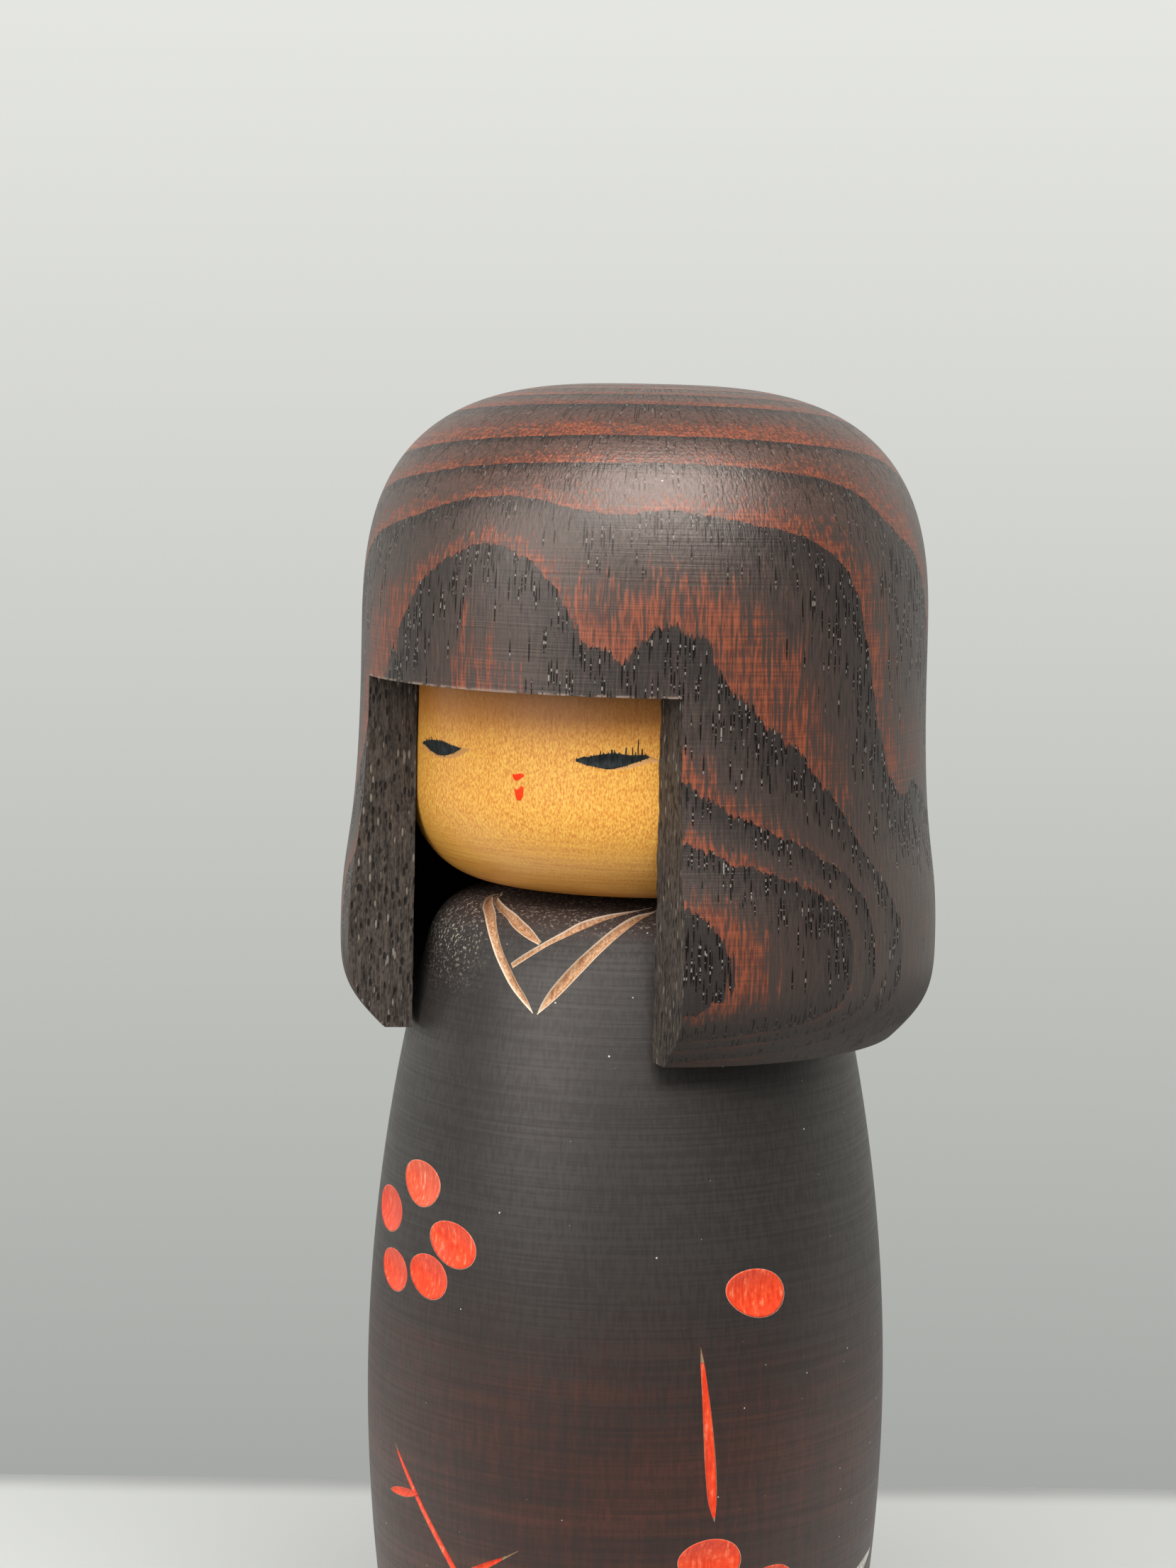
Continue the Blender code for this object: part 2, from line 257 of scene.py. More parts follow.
class Field:
    """A number or colour that varies over a piece: one output among its material's nodes."""

    def __init__(self, tree, socket):
        self.tree, self.socket = tree, socket

    def node(self, kind, settings, sockets, out=0):
        """A new node: its type, its settings, which are set first, and its sockets' values or links."""
        made = self.tree.nodes.new("ShaderNode" + kind)
        for key, value in settings.items():
            if key == "stops":
                made.color_ramp.interpolation = "CARDINAL"
                ramp = made.color_ramp.elements
                ramp[0].position, ramp[0].color = value[0]
                ramp[1].position, ramp[1].color = value[-1]
                for at, colour in value[1:-1]:
                    ramp.new(at).color = colour
            else:
                setattr(made, key, value)
        for key, value in sockets.items():
            if isinstance(value, Field):
                self.tree.links.new(value.socket, made.inputs[key])
            else:
                made.inputs[key].default_value = value
        return Field(self.tree, made.outputs[out])

    def math(self, operation, first, second=0.0):
        """An operation on one or two numbers."""
        return self.node("Math", {"operation": operation}, {0: first, 1: second})

    def __add__(self, other):
        return self.math("ADD", self, other)

    def __sub__(self, other):
        return self.math("SUBTRACT", self, other)

    def __rsub__(self, other):
        return self.math("SUBTRACT", other, self)

    def __mul__(self, other):
        return self.math("MULTIPLY", self, other)

    def __truediv__(self, other):
        return self.math("DIVIDE", self, other)

    __radd__, __rmul__ = __add__, __mul__

    def rise(self, low, high, curve="SMOOTHSTEP"):
        """0 below low, 1 above high, and a smooth or straight rise between them."""
        ends = {"From Min": low, "From Max": high}
        return self.node("MapRange", {"interpolation_type": curve}, {"Value": self, **ends})

    def pick(self, low, high):
        """The colour low where this is 0, high where it is 1, and their blend between."""
        return self.node("Mix", {"data_type": "RGBA"}, {0: self, 6: low, 7: high}, out=2)

    def parts(self):
        """The three numbers of a vector."""
        split = self.node("SeparateXYZ", {}, {0: self})
        return [split] + [Field(self.tree, split.socket.node.outputs[i]) for i in (1, 2)]

    def stretched(self, x, y, z):
        """A vector multiplied, part by part."""
        return self.node("VectorMath", {"operation": "MULTIPLY"}, {0: self, 1: (x, y, z)})

    def noise(self, scale, detail=2.0, roughness=0.5):
        """Smooth noise about 0, within half a unit either way, at so many waves in a millimetre."""
        settings = {"Vector": self, "Scale": scale, "Detail": detail, "Roughness": roughness}
        return self.node("TexNoise", {}, settings) - 0.5

    def specks(self, scale, span="3D"):
        """Scattered cells: the distance to the nearest middle, and that cell's own chance from 0 to 1."""
        near = self.node("TexVoronoi", {"voronoi_dimensions": span}, {"Vector": self, "Scale": scale})
        return near, Field(self.tree, near.socket.node.outputs["Color"]).parts()[0]


def tone(red, green, blue):
    """A colour as seen on a screen, from 0 to 255, as the linear colour that a shader takes."""
    seen = np.array([red, green, blue]) / 255
    linear = np.where(seen <= 0.04045, seen / 12.92, ((seen + 0.055) / 1.055) ** 2.4)
    return (*linear.tolist(), 1.0)


def surface_of(name):
    """A new material, and the place on the piece in millimetres, from its Object coordinates."""
    made = bpy.data.materials.new(name)
    made.use_nodes = True
    where = made.node_tree.nodes.new("ShaderNodeTexCoord")
    metres = Field(made.node_tree, where.outputs["Object"])
    return made, metres.stretched(1 / MM, 1 / MM, 1 / MM)


def dress(made, colour, roughness, height, coat, specular=0.5, sheen_tone=(1.0, 1.0, 1.0, 1.0)):
    """Links colour, roughness and bump height, in millimetres, to the material's shader."""
    shader = made.node_tree.nodes["Principled BSDF"]
    links = made.node_tree.links
    links.new(colour.socket, shader.inputs["Base Color"])
    links.new(roughness.socket, shader.inputs["Roughness"])
    bump = height.node("Bump", {}, {"Height": height, "Strength": 1.0, "Distance": MM})
    links.new(bump.socket, shader.inputs["Normal"])
    shader.inputs["Coat Weight"].default_value = coat
    shader.inputs["Coat Roughness"].default_value = 0.3
    shader.inputs["Specular IOR Level"].default_value = specular
    shader.inputs["Specular Tint"].default_value = sheen_tone


def bare_wood(name, pale, deep, rim=None):
    """Bare wood: short upright fibres, fine flecks, and a paler rim along the edge where a gouge cut it."""
    made, place = surface_of(name)
    fibre = place.stretched(1, 1, 0.12).noise(2.2, 3)
    fleck = place.noise(3.0, 2)
    colour = (fibre * 1.1 + fleck * 0.9 + 0.5).rise(0.2, 0.85).pick(deep, pale)
    if rim:
        depth = place.node("Attribute", {"attribute_name": "cut_depth"}, {}, out=2)
        colour = (depth + fleck * 0.3).rise(0.3, 0.1).pick(colour, rim)
    dress(made, colour, 0.6 + fleck * 0.2, fibre * 0.05 + fleck * 0.05, 0.0)
    return made


# Heights between which the stain changes, and for the rubbed side, places across the doll.
RED_BELOW, DULL_ABOVE, SEAT_REDDENS = (114, 66), (145, 153), (151, 156)
RUBBED_SHOULDER, RUBBED_SIDE, RUBBED_CROWN = (140, 152), (-8, -18), (152, 156)


def body_stain():
    """Near-black stain on turned wood: lathe lines cross short upright fibres in a fine weave.

    Low on the barrel the stain is thinner and redder in broad belts. On the crown and on the doll's right
    shoulder it is dull and rubbed through to pale wood, and specks of dust lie all over it.
    """
    made, place = surface_of("stained_body_wood")
    aside, _, height = place.parts()
    lathe = place.stretched(0.04, 0.04, 2.2).noise(1.0, 3)
    fibre = place.stretched(1.0, 1.0, 0.15).noise(2.0, 3)
    belts = place.stretched(0.3, 0.3, 1.0).noise(0.08, 3)
    cloth = place.stretched(1, 1, 0.06).noise(0.9, 2) + place.stretched(0.05, 0.05, 1).noise(0.8, 2)
    low = height.rise(*RED_BELOW)
    thin = ((belts * 1.2 + cloth * 1.1 + lathe * 0.8 + fibre * 1.0 + 0.6) * low).rise(0.05, 1.1)
    stain = low.pick(tone(54, 51, 49), tone(50, 38, 35))
    stain = thin.pick(stain, tone(84, 46, 38))
    weave = (lathe * 1.7 + fibre * 1.7 + 0.5).rise(0.15, 0.85)
    stain = (weave * 0.65).pick(stain, tone(30, 26, 25))
    stain = (height.rise(*SEAT_REDDENS) * 0.6).pick(stain, tone(66, 43, 38))
    edge = height.rise(*RUBBED_SHOULDER) * aside.rise(*RUBBED_SIDE) + height.rise(*RUBBED_CROWN) * 0.7
    rubbed = place.noise(1.7, 4, 0.75).rise(0.05, 0.13) * edge
    stain = rubbed.pick(stain, tone(190, 177, 158))
    near, chance_of = place.specks(0.32)
    dust = (near - chance_of * 0.055).rise(0.008, -0.008)
    colour = dust.pick(stain, tone(206, 200, 188))
    rough = 0.44 + lathe * 0.14 + fibre * 0.12 + height.rise(*DULL_ABOVE) * 0.3
    bump = lathe * 0.025 + fibre * 0.025 + dust * 0.04
    dress(made, colour, rough, bump, 0.0, 0.66, tone(255, 246, 238))
    return made


body_finish = body_stain()
twig_wood = bare_wood("cut_twig_wood", tone(172, 146, 114), tone(132, 100, 72))
gouged_wood = bare_wood("gouged_body_wood", tone(212, 172, 134), tone(158, 106, 64), tone(226, 206, 182))
outline = body_outline()
flat_radius = BASE_RADIUS - BASE_EDGE
base_rings = np.array([(flat_radius - BASE_RING, 0.0), (flat_radius, 0.0)])
body_rings = turned_rings(np.concatenate([base_rings, outline]), BODY_COLUMNS)
body = closed_skin("carved_body", (0, 0, 0), body_rings, (0, 0, BODY_HEIGHT), body_finish)

# Gouges on the body. A scoop is its middle's angle from the front and height, half length, half width,
# tilt and taper. A groove is a line of angle, height and half width.
PETAL_DEPTH, GROOVE_DEPTH, TWIG_DEPTH = 0.85, 0.75, 0.5
UPPER_BLOSSOM = (
    (-30.3, 111.1, 5.4, 3.6, -8, 0.12),
    (-45.2, 104.9, 6.0, 3.6, -4, 0),
    (-17.5, 102.9, 5.4, 3.5, -14, 0),
    (-38.9, 95.7, 5.1, 3.3, -8, 0),
    (-24.6, 96.8, 5.0, 3.5, -10, 0),
)
LOWER_BLOSSOM = (
    (43.1, 54.1, 5.4, 3.9, -4, 0),
    (57.2, 48.3, 5.4, 3.7, 6, 0),
    (29.6, 46.3, 5.3, 3.5, 12, 0),
    (50.4, 38.9, 5.1, 3.4, 8, 0),
    (36.2, 40.1, 5.0, 3.5, 10, 0),
)
BUD = (53.4, 97.1, 5.5, 3.85, -14, 0)
STEM = (
    (40.4, 89.3, 0.04), (40.8, 86.2, 0.36), (41.3, 82.5, 0.54), (41.9, 77.5, 0.78),
    (42.5, 71.5, 0.95), (42.9, 67.5, 0.92), (43.2, 64.5, 0.78), (43.5, 62.5, 0.45),
    (43.8, 60.8, 0.04),
)
TWIG = (
    (-35.1, 67.3, 0.04), (-32.6, 65.0, 0.34), (-29.4, 62.4, 0.5), (-25.5, 59.0, 0.55),
    (-21.4, 55.4, 0.58), (-16.1, 50.6, 0.6), (-11.0, 45.6, 0.66), (-6.6, 40.4, 0.7),
    (-3.6, 34.6, 0.6), (-2.4, 30.0, 0.05),
)
TWIG_BUD = (
    (-38.3, 58.8, 0.04), (-35.5, 59.2, 0.62), (-32.0, 59.6, 0.82), (-29.0, 60.0, 0.66), (-26.4, 60.4, 0.2),
)
TWIG_BRANCH = (
    (1.6, 55.2, 0.04), (-2.2, 53.5, 0.22), (-6.0, 51.9, 0.5), (-10.0, 50.3, 0.56), (-14.2, 48.6, 0.4),
)
LEAF = (
    (101.4, 46.5, 0.05), (98.2, 45.8, 0.66), (94.2, 44.9, 1.25), (88.0, 43.4, 1.7),
    (80.5, 41.4, 1.4), (73.5, 39.4, 0.05),
)
COLLAR = (
    (
        (-43.5, 156.45, 0.15), (-34.6, 155.9, 0.7), (-24.9, 154.5, 0.85), (-18.2, 151.9, 0.74),
        (-12.6, 148.2, 0.7), (-7.9, 145.0, 0.62), (-3.8, 142.6, 0.42), (-0.9, 140.7, 0.04),
    ),
    (
        (-45.4, 156.6, 0.1), (-30.0, 156.05, 0.5), (-17.6, 155.0, 0.68), (-11.5, 153.9, 0.84),
        (-6.4, 152.8, 0.74), (-1.6, 151.5, 0.3),
    ),
    (
        (33.2, 156.5, 0.08), (24.6, 156.2, 0.36), (16.8, 155.6, 0.62), (10.2, 154.5, 0.78),
        (5.4, 153.1, 0.55), (0.7, 151.6, 0.42), (-4.6, 149.6, 0.42), (-9.2, 147.7, 0.4),
    ),
    (
        (34.2, 156.35, 0.1), (26.5, 155.5, 0.66), (20.6, 153.7, 0.76), (15.4, 151.2, 0.8),
        (9.8, 147.8, 0.88), (5.2, 144.6, 0.82), (2.2, 142.3, 0.5), (0.3, 140.6, 0.04),
    ),
)
COLLAR_WIDER = np.array([1, 1, 1.16])
LINE_STEPS = 60
NECK_OFFSET, NECK_LEAN_DEG, NECK_DIRECTION_DEG = 1.4, 0.7, 24.4
BORE_RADIUS, BORE_OPENS, SOCKET_DEPTH = 6.3, 4.0, 25.3
SHARP_GOUGE_DEG = 9

across = math.radians(NECK_DIRECTION_DEG)
neck_foot = Vector((math.cos(across) * NECK_OFFSET, math.sin(across) * NECK_OFFSET, BODY_HEIGHT))
lean = Matrix.Rotation(math.radians(NECK_LEAN_DEG), 4, (-math.sin(across), math.cos(across), 0))
neck = np.array(Matrix.Translation(neck_foot) @ lean)


def in_frame(points, matrix):
    """Points of a leaning piece's own frame, in the frame of the whole doll."""
    return points @ matrix[:3, :3].T + matrix[:3, 3]


def bore_cutter(name, bottom, top, matrix, finish):
    """A round hole for the dowel: a straight-sided rod between two heights on the neck's axis."""
    core = 3.0
    rod = np.array([(core, bottom), (BORE_RADIUS, bottom), (BORE_RADIUS, top), (core, top)])
    rings = in_frame(turned_rings(rod, 64), matrix)
    return closed_skin(name, rings[0].mean(0), rings, rings[-1].mean(0), finish)


scoops = (*UPPER_BLOSSOM, *LOWER_BLOSSOM, BUD)
fine_cuts = (STEM, TWIG, TWIG_BUD, TWIG_BRANCH)
cutters = []
for i, oval in enumerate(scoops):
    cutters.append(scoop_cutter(f"petal_{i}", outline, oval, PETAL_DEPTH, gouged_wood))
for i, line in enumerate(fine_cuts):
    fine_line = smooth_line(line, LINE_STEPS)
    cutters.append(groove_cutter(f"cut_{i}", outline, fine_line, TWIG_DEPTH, twig_wood, stay))
for i, line in enumerate(COLLAR):
    wide_line = smooth_line(line, LINE_STEPS) * COLLAR_WIDER
    cutters.append(groove_cutter(f"collar_{i}", outline, wide_line, GROOVE_DEPTH, gouged_wood, stay))
leaf_line = smooth_line(LEAF, LINE_STEPS)
cutters.append(groove_cutter("leaf", outline, leaf_line, PETAL_DEPTH, gouged_wood, stay))
cutters.append(bore_cutter("socket", -SOCKET_DEPTH, BORE_OPENS, neck, gouged_wood))
carve(body, cutters, SHARP_GOUGE_DEG)
mark_depth(body, outline, np.eye(4))
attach(body, "base_body")
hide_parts("turned_body")

# Paint in the body's gouges: opaque red, brushed into the petals, the stem and the twigs so that a thin
# bare rim and the bare tips of the cuts stay open, and white in the leaf at the side. On the topmost
# petal the red is paler: partly thin, worn paint and partly a painted sheen where it faces the light.
PAINT_FILM, PETAL_COVER, TWIG_COVER, LEAF_COVER = 0.05, 0.985, 0.9, 0.94


def brushed_paint(name, full, deep, worn, gloss):
    """Brushed paint: upright fibres of the wood show through as deeper streaks, and some are worn paler."""
    made, place = surface_of(name)
    fibre = place.stretched(1, 1, 0.14).noise(2.0, 3)
    mottle = place.noise(1.1, 3)
    shade = (fibre * 1.6 + mottle * 1.0 + 0.5).rise(0.1, 0.8)
    colour = ((fibre + mottle * 0.5).rise(0.08, 0.24) * 0.6).pick(shade.pick(deep, full), worn)
    dress(made, colour, 0.4 + mottle * 0.25, fibre * 0.07 + mottle * 0.06, 0.0, gloss)
    return made


red_paint = brushed_paint("red_paint", tone(252, 82, 38), tone(228, 56, 24), tone(255, 150, 112), 0.5)
# Paler red for the topmost petal: thin, worn paint, with a painted sheen where it faces the light.
sheened_worn_red_paint = brushed_paint(
    "sheened_worn_red_paint", tone(246, 104, 66), tone(230, 76, 44), tone(255, 190, 164), 0.5
)
white_paint = brushed_paint("white_paint", tone(228, 226, 218), tone(192, 188, 178), tone(240, 238, 232), 0.5)
films = [
    scoop_film(f"{group}_petal_{i}", outline, oval, PETAL_DEPTH, PETAL_COVER, PAINT_FILM, red_paint)
    for group, ovals in (("upper", UPPER_BLOSSOM), ("lower", LOWER_BLOSSOM), ("bud", (BUD,)))
    for i, oval in enumerate(ovals, 1)
]
top_petal = films[0]
top_petal.data.materials[0] = sheened_worn_red_paint
painted_steps = (
    ("stem_paint", STEM, 6, 57),
    ("twig_paint", TWIG, 3, 57),
    ("twig_bud_paint", TWIG_BUD, 5, 60),
    ("twig_branch_paint", TWIG_BRANCH, 16, 60),
)
for name, line, first, last in painted_steps:
    painted = smooth_line(line, LINE_STEPS)[first:last]
    films.append(groove_film(name, outline, painted, TWIG_DEPTH, TWIG_COVER, PAINT_FILM, red_paint, stay))
white_line = leaf_line[2:58]
films.append(
    groove_film("leaf_paint", outline, white_line, PETAL_DEPTH, LEAF_COVER, PAINT_FILM, white_paint, stay)
)
for film in films:
    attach(film, "base_body")

# The neck dowel: a round rod of bare, pale wood, glued into the body's socket. The head turns on it, and
# it is hidden between the body and the face block.
dowel_finish = bare_wood("dowel_wood", tone(222, 186, 134), tone(186, 144, 92))
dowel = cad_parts["neck_dowel"]
dowel.data.materials.clear()
dowel.data.materials.append(dowel_finish)

# The face block: a pale, yellow-varnished cylinder with a rounded chin, bored for the dowel. The eyes
# are two shallow leaf-shaped cuts, each a line of angle, height and half width in the head's own frame.
HEAD_TURN_DEG = -7.8
HOLLOW_RADIUS = 39.15
FACE_GAP, FACE_HEIGHT, FACE_EDGE = 0.3, 47.4, 0.8
FACE_RADIUS = HOLLOW_RADIUS - FACE_GAP
CHIN_WIDTH, CHIN_HEIGHT = 13.7, 16.0
BORE_TOP = 22.3
EYE_DEPTH = 0.28
FACE_TOP_RING, FACE_COLUMNS = 20.0, 216
RIGHT_EYE = (
    (-34.6, 23.3, 0.03), (-33.0, 23.25, 0.52), (-30.5, 23.17, 1.03), (-28.0, 23.12, 1.27),
    (-25.5, 23.1, 1.4), (-22.5, 23.05, 1.36), (-19.5, 23.03, 1.08), (-16.0, 23.18, 0.64),
    (-14.2, 23.44, 0.36), (-12.4, 23.75, 0.03),
)
LEFT_EYE = (
    (16.2, 23.4, 0.03), (17.2, 23.4, 0.32), (18.8, 23.33, 0.72), (21.5, 23.38, 0.97),
    (24.0, 23.4, 1.28), (25.8, 23.47, 1.32), (28.3, 23.48, 1.16), (30.7, 23.65, 0.9),
    (33.2, 23.92, 0.66), (35.4, 23.8, 0.25), (36.4, 23.78, 0.03),
)
head = np.array(Matrix.Translation(neck_foot) @ lean @ Matrix.Rotation(math.radians(HEAD_TURN_DEG), 4, "Z"))


def in_head(points):
    """Points of the head's own frame, in the frame of the whole doll."""
    return in_frame(points, head)


def head_place(place):
    """The place on a head piece in the head's own frame, in millimetres from the seat on its axis."""
    turned = Matrix(head.tolist()).to_euler()
    sockets = {"Vector": place, "Location": tuple(head[:3, 3]), "Rotation": tuple(turned)}
    return place.node("Mapping", {"vector_type": "TEXTURE"}, sockets)


def face_outline():
    """The block's side from its underside up: a quarter of an ellipse as the chin, then a straight side."""
    turn = np.linspace(0, np.pi / 2, 26)
    chin_radius = FACE_RADIUS - CHIN_WIDTH * (1 - np.sin(turn))
    chin = np.stack([chin_radius, FACE_GAP + CHIN_HEIGHT * (1 - np.cos(turn))], 1)
    top = FACE_GAP + FACE_HEIGHT - FACE_EDGE
    side = np.linspace((FACE_RADIUS, FACE_GAP + CHIN_HEIGHT), (FACE_RADIUS, top), 44)
    return np.concatenate([chin, side[1:]])


# Heights where the grain changes on the chin and the brow, and where shade is painted below the chin and
# under the fringe.
CHIN_BAND, CHIN_PAINTED_SHADE, BROW_BAND, FRINGE_PAINTED_SHADOW = (14, 6), (9, 1), (21, 31), (23, 31)


def face_varnish():
    """Pale wood under yellow varnish, with painted shadow under the fringe and painted shade below the chin.

    The wood has fine flecks, short upright dashes of grain near the top and lathe lines on the chin.
    """
    made, place = surface_of("pale_face_wood")
    local = head_place(place)
    height = local.parts()[2]
    dash = local.stretched(1, 1, 0.16).noise(2.6, 3)
    fleck = local.stretched(1, 1, 0.45).noise(4.0, 2)
    lathe = local.stretched(0.06, 0.06, 2.6).noise(1.0, 2)
    low, high = height.rise(*CHIN_BAND), height.rise(*BROW_BAND)
    shade = (fleck * (2.1 - low * 1.4) + dash * (0.3 + high * 0.9) + lathe * low * 0.8 + 0.5).rise(0.0, 1.0)
    colour = shade.pick(tone(216, 132, 46), tone(255, 199, 91))
    # Painted shadow: the face is darker under the fringe.
    colour = (height.rise(*FRINGE_PAINTED_SHADOW) * 0.75).pick(colour, tone(198, 119, 54))
    # Painted shade: the chin is darker towards its underside.
    colour = (height.rise(*CHIN_PAINTED_SHADE) * 0.4).pick(colour, tone(186, 108, 40))
    line = (dash + fleck * 0.3).rise(-0.12, -0.26) * high
    colour = (line * 0.45).pick(colour, tone(150, 92, 34))
    dress(made, colour, 0.4 + fleck * 0.2, dash * 0.03 + fleck * 0.05 + lathe * low * 0.03, 0.2)
    return made


face_finish = face_varnish()
# The wood in the eye cuts is darker than the face around it: painted shade in the gouges.
shaded_eye_cut_wood = bare_wood("shaded_cut_face_wood", tone(188, 130, 66), tone(156, 102, 50), tone(204, 148, 82))
face_line = face_outline()
top_height = FACE_GAP + FACE_HEIGHT
face_top = np.array([(FACE_RADIUS - FACE_EDGE, top_height), (FACE_TOP_RING, top_height)])
face_base = np.array([(SEAT_RADIUS, FACE_GAP)])
face_rings = in_head(turned_rings(np.concatenate([face_base, face_line, face_top]), FACE_COLUMNS))
face_ends = in_head(np.array([(0, 0, FACE_GAP), (0, 0, top_height)]))
face = closed_skin("painted_face", face_ends[0], face_rings, face_ends[1], face_finish)
eyes = [
    groove_cutter(f"eye_{i}", face_line, smooth_line(line, LINE_STEPS), EYE_DEPTH, shaded_eye_cut_wood, in_head)
    for i, line in enumerate((RIGHT_EYE, LEFT_EYE))
]
carve(face, [*eyes, bore_cutter("bore", -BORE_OPENS, BORE_TOP, neck, shaded_eye_cut_wood)], SHARP_GOUGE_DEG)
mark_depth(face, face_line, head)
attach(face, "head")
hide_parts("face_block")

# The painted features: slate-black ink in the eye cuts, which has crept up the grain in fine ticks, and
# two dabs of red for the nose and the mouth. Ink is a line of angle, lower edge and upper edge, a tick is
# an angle and a height, and a dab is an outline about its middle.
INK_FILM, INK_STEP_DEG, TICK_DEG = 0.03, 0.07, 0.15
RAGGED_UP, RAGGED_DOWN, INK_LEAST, CUT_LEAST = 0.32, 0.24, 0.02, 0.03
EYE_STEPS, INK_ROWS = 400, 12
RIGHT_INK = (
    (-34.3, 23.3, 23.32), (-33.0, 23.2, 23.72), (-30.5, 22.65, 24.07), (-28.0, 22.3, 24.23),
    (-25.5, 22.07, 24.34), (-22.5, 22.13, 24.28), (-19.5, 22.64, 23.92), (-17.5, 23.18, 23.8),
    (-15.9, 23.69, 23.71),
)
LEFT_INK = (
    (16.7, 23.2, 23.56), (17.6, 23.08, 23.75), (18.4, 22.95, 23.96), (19.5, 22.68, 23.97),
    (21.0, 22.6, 24.27), (22.5, 22.38, 24.42), (24.0, 22.22, 24.6), (25.7, 22.32, 24.74),
    (27.5, 22.65, 24.63), (29.5, 23.12, 24.47), (31.5, 23.6, 24.58), (33.0, 23.97, 24.55),
    (33.9, 24.25, 24.27),
)
RIGHT_TICKS = ((-31.4, 24.3), (-30.0, 24.6), (-29.1, 24.75), (-28.5, 24.5), (-26.2, 24.6))
LEFT_TICKS = (
    (20.3, 24.3), (22.5, 25.05), (23.2, 24.8), (25.1, 25.3), (25.7, 25.26), (26.8, 24.95),
    (28.4, 25.7), (29.9, 25.75), (30.6, 25.0), (31.15, 27.0), (32.1, 25.56), (33.0, 24.8),
)
NOSE_AT, MOUTH_AT = (2.2, 20.25), (2.5, 17.6)
NOSE = (
    (-1.12, 0.06), (-1.0, 0.33), (-0.62, 0.28), (-0.18, 0.38), (0.27, 0.5), (0.71, 0.49), (1.02, 0.28),
    (1.03, 0.03), (0.64, -0.19), (0.22, -0.48), (-0.22, -0.7), (-0.64, -0.62), (-0.94, -0.38),
)
MOUTH = (
    (-0.94, 0.68), (-0.67, 0.58), (-0.41, 0.53), (-0.04, 0.73), (0.21, 0.93), (0.32, 1.3), (0.45, 1.12),
    (0.72, 1.08), (0.83, 0.89), (0.77, 0.4), (0.73, -0.46), (0.4, -1.0), (0.0, -1.18), (-0.37, -1.06),
    (-0.61, -0.62), (-0.8, 0.11),
)
chance = np.random.default_rng(7)


def inked_eye(name, cut, ink, ticks):
    """Ink over a leaf-shaped cut: rows from the ink's lower edge to its upper edge, in narrow columns.

    Ink and cut are tables by angle: lower and upper edge, and middle and half width. The edges are ragged by
    small draws to the fifth power, and a few columns end in ticks. Ink follows the cut's depth, and outside
    the cut it lies on the block's surface.
    """
    ink_line, cut_line = smooth_line(ink, EYE_STEPS), smooth_line(cut, EYE_STEPS)
    angle = np.arange(ink[0][0], ink[-1][0], INK_STEP_DEG)
    lower, upper = (np.interp(angle, ink_line[:, 0], ink_line[:, i]) for i in (1, 2))
    middle, half = (np.interp(angle, cut_line[:, 0], cut_line[:, i]) for i in (1, 2))
    upper = upper + RAGGED_UP * np.repeat(chance.random(len(angle)), 2)[: len(angle)] ** 5
    lower = lower - RAGGED_DOWN * np.repeat(chance.random(len(angle)), 2)[: len(angle)] ** 5
    for at, top in ticks:
        upper = np.where(np.abs(angle - at) < TICK_DEG, np.maximum(upper, top), upper)
    rows = lower + np.linspace(0, 1, INK_ROWS)[:, None] * np.maximum(upper - lower, INK_LEAST)
    foot, out = on_turned(face_line, angle + 0 * rows, rows)
    off = np.abs(rows - middle) / np.maximum(half, CUT_LEAST)
    sunk = EYE_DEPTH * half / cut_line[:, 2].max() * (1 - off**GOUGE_POWER)
    skin = foot - out * np.maximum(sunk, 0)[..., None]
    over, under = skin + out * INK_FILM, skin - out * INK_FILM
    rings = in_head(np.concatenate([over, under[::-1]]).transpose(1, 0, 2))
    return closed_skin(name, rings[0].mean(0), rings, rings[-1].mean(0), slate_ink)


def face_dab(name, angle, height, corners):
    """A dab of paint: rings of a smooth closed outline on the block, which swell as they shrink inwards."""
    loop = np.array([*corners, corners[0]])
    wrapped = np.vstack([loop[-2], loop, loop[1]])
    steps = 12
    edge = smooth_line(wrapped, steps * (len(wrapped) - 1) + 1)[steps : -steps - 1]
    share = np.array([0.05, 0.3, 0.55, 0.8, 0.95, 1.0, 0.9, 0.5, 0.1])[:, None]
    lift = np.array([0.09, 0.085, 0.08, 0.07, 0.05, 0.01, -0.03, -0.03, -0.03])[:, None]
    level, rise = share * edge[:, 0], share * edge[:, 1]
    foot, out = on_turned(face_line, angle + np.degrees(level / FACE_RADIUS), height + rise)
    rings = in_head(foot + out * lift[..., None])
    return closed_skin(name, rings[0].mean(0), rings, rings[-1].mean(0), lip_paint)


slate_ink = brushed_paint("slate_ink", tone(48, 53, 53), tone(30, 33, 33), tone(60, 65, 64), 0.1)
lip_paint = brushed_paint("lip_red", tone(255, 66, 14), tone(244, 54, 8), tone(255, 80, 24), 0.2)
features = [
    inked_eye("right_eye_ink", RIGHT_EYE, RIGHT_INK, RIGHT_TICKS),
    inked_eye("left_eye_ink", LEFT_EYE, LEFT_INK, LEFT_TICKS),
    face_dab("nose_dab", *NOSE_AT, NOSE),
    face_dab("mouth_dab", *MOUTH_AT, MOUTH),
]
for feature in features:
    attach(feature, "head")

